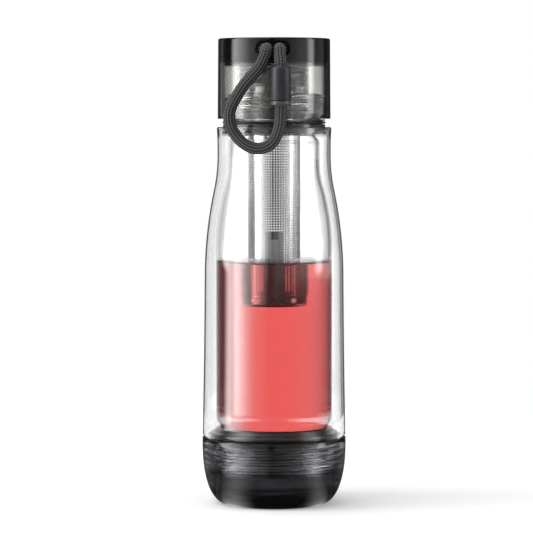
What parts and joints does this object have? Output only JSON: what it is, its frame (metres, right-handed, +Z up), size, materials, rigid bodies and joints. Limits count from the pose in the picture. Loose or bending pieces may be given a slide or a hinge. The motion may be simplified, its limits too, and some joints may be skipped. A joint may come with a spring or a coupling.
{
  "type": "tea infuser flask",
  "caption": "Tall double-wall drinking flask: smoky screw base, clear shell round a glass core, hanging steel strainer tube, smoky screw lid and braided cord loop.",
  "frame": {"origin": "centre of the flat foot under the base cup, on the surface that the flask stands on", "axes": "+Z up along the flask's axis, -Y towards the front, where the cord hangs"},
  "size_m": [0.0738, 0.0768, 0.2385],
  "materials": {
    "smoky_base": "polished smoky grey translucent plastic",
    "black_seal": "black silicone rubber",
    "clear_shell": "polished clear plastic",
    "grey_plug": "smooth grey plastic",
    "dark_cushion": "satin dark grey silicone",
    "core_glass": "clear blown glass",
    "collar_plastic": "clear plastic",
    "frosted_silicone": "translucent silicone",
    "neck_seal": "dark silicone rubber",
    "strainer_steel": "perforated stainless steel sheet",
    "foot_steel": "pressed stainless steel, satin",
    "rim_plastic": "pale translucent plastic",
    "pale_silicone": "pale silicone rubber",
    "gasket_silicone": "pale silicone rubber",
    "liner_plastic": "clear plastic, lightly frosted",
    "smoky_lid": "polished smoky grey translucent plastic",
    "post_plastic": "dark plastic",
    "braided_cord": "braided polyester cord, charcoal",
    "sleeve_rubber": "moulded rubber, satin charcoal",
    "band_rubber": "moulded rubber, satin grey rim"
  },
  "bodies": {
    "base": {"base_cup": "smoky_base"},
    "base_seal": {"base_seal_ring": "black_seal"},
    "bottle": {"outer_shell": "clear_shell", "core_plug": "grey_plug", "core_cushion": "dark_cushion", "glass_core": "core_glass", "neck_collar": "collar_plastic", "neck_bush": "frosted_silicone", "neck_ring_seal": "neck_seal"},
    "infuser": {"infuser_tube": "strainer_steel", "infuser_foot": "foot_steel", "infuser_rim": "rim_plastic", "infuser_seal": "pale_silicone"},
    "gasket": {"lid_gasket": "gasket_silicone"},
    "lid": {"lid_cap": "smoky_lid", "lid_liner": "liner_plastic", "cord_post": "post_plastic", "cord_bight": "braided_cord"},
    "lanyard": {"lanyard_cord": "braided_cord", "cord_sleeve": "sleeve_rubber", "sleeve_band": "band_rubber"}
  },
  "joints": [
    {"name": "base_rise", "type": "slide", "parent": "base", "child": "base_seal", "axis": [0, 0, 1], "range_m": [0, 0.0246]},
    {"name": "base_turn", "type": "hinge", "parent": "base_seal", "child": "bottle", "pos_m": [0, 0, 0.0344], "axis": [0, 0, 1], "range_deg": [0, 2880]},
    {"name": "infuser_lift", "type": "slide", "parent": "bottle", "child": "infuser", "axis": [0, 0, 1], "range_m": [0, 0.16]},
    {"name": "lid_lift", "type": "slide", "parent": "infuser", "child": "gasket", "axis": [0, 0, 1], "range_m": [0, 0.04]},
    {"name": "lid_turn", "type": "hinge", "parent": "gasket", "child": "lid", "pos_m": [0, 0, 0.2233], "axis": [0, 0, 1], "range_deg": [0, 540]},
    {"name": "lanyard_swing", "type": "hinge", "parent": "lid", "child": "lanyard", "pos_m": [0, -0.0321, 0.2327], "axis": [-1, 0, 0], "range_deg": [0, 165]}
  ],
  "couplings": [
    {"joint": "base_rise", "follows": "base_turn", "m_per_rad": 0.00048861}
  ]
}
